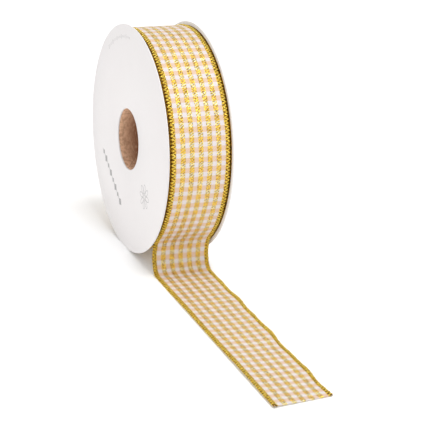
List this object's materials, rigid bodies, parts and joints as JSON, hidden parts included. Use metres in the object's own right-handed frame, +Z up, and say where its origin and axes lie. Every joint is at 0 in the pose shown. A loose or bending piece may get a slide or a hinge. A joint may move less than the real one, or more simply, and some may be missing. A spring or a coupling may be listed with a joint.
{
  "type": "ribbon spool",
  "caption": "Ribbon spool: kraft core tube between thin white card flanges, wound with wire-edged gingham ribbon whose free end runs off along the table.",
  "frame": {"origin": "middle of the whole object's footprint at table height, with the free end of the ribbon laid out flat; the axle is 53.4 mm towards +Y and 47.5 mm up", "axes": "+X along the axle, from the printed front flange towards the back flange; -Y is the way the ribbon is drawn off along the table; +Z is up"},
  "size_m": [0.0278, 0.2018, 0.095],
  "materials": {
    "white_board": "matte",
    "coated_paper": "satin",
    "kraft_board": "matte",
    "dried_glue": "satin",
    "paper_tape": "matte",
    "gingham_weave": "satin",
    "gold_overlock": "satin",
    "edge_wire": "satin"
  },
  "bodies": {
    "drawn_ribbon": {"outer_turn_weave": "gingham_weave", "outer_turn_front_edge": "gold_overlock", "outer_turn_back_edge": "gold_overlock", "outer_turn_front_wire": "edge_wire", "outer_turn_back_wire": "edge_wire"},
    "ribbon_tail": {"tail_weave": "gingham_weave", "tail_front_edge": "gold_overlock", "tail_back_edge": "gold_overlock", "tail_front_wire": "edge_wire", "tail_back_wire": "edge_wire"},
    "spool": {"front_flange": "white_board", "front_flange_facing": "coated_paper", "front_glue_bead": "dried_glue", "back_flange": "white_board", "back_flange_facing": "coated_paper", "back_glue_bead": "dried_glue", "core_tube_inner_ply": "kraft_board", "core_tube_outer_ply": "kraft_board", "ribbon_start_tape": "paper_tape", "wound_ribbon": "gingham_weave", "wound_front_edge": "gold_overlock", "wound_back_edge": "gold_overlock"}
  },
  "joints": [
    {"name": "spool_spin", "type": "hinge", "parent": "drawn_ribbon", "child": "spool", "pos_m": [0, 0.0534, 0.0475], "axis": [1, 0, 0], "continuous": true},
    {"name": "tail_lift", "type": "hinge", "parent": "drawn_ribbon", "child": "ribbon_tail", "pos_m": [-0.00063, 0.0034, 0.00075], "axis": [-1, 0, 0], "range_deg": [0, 75]}
  ]
}
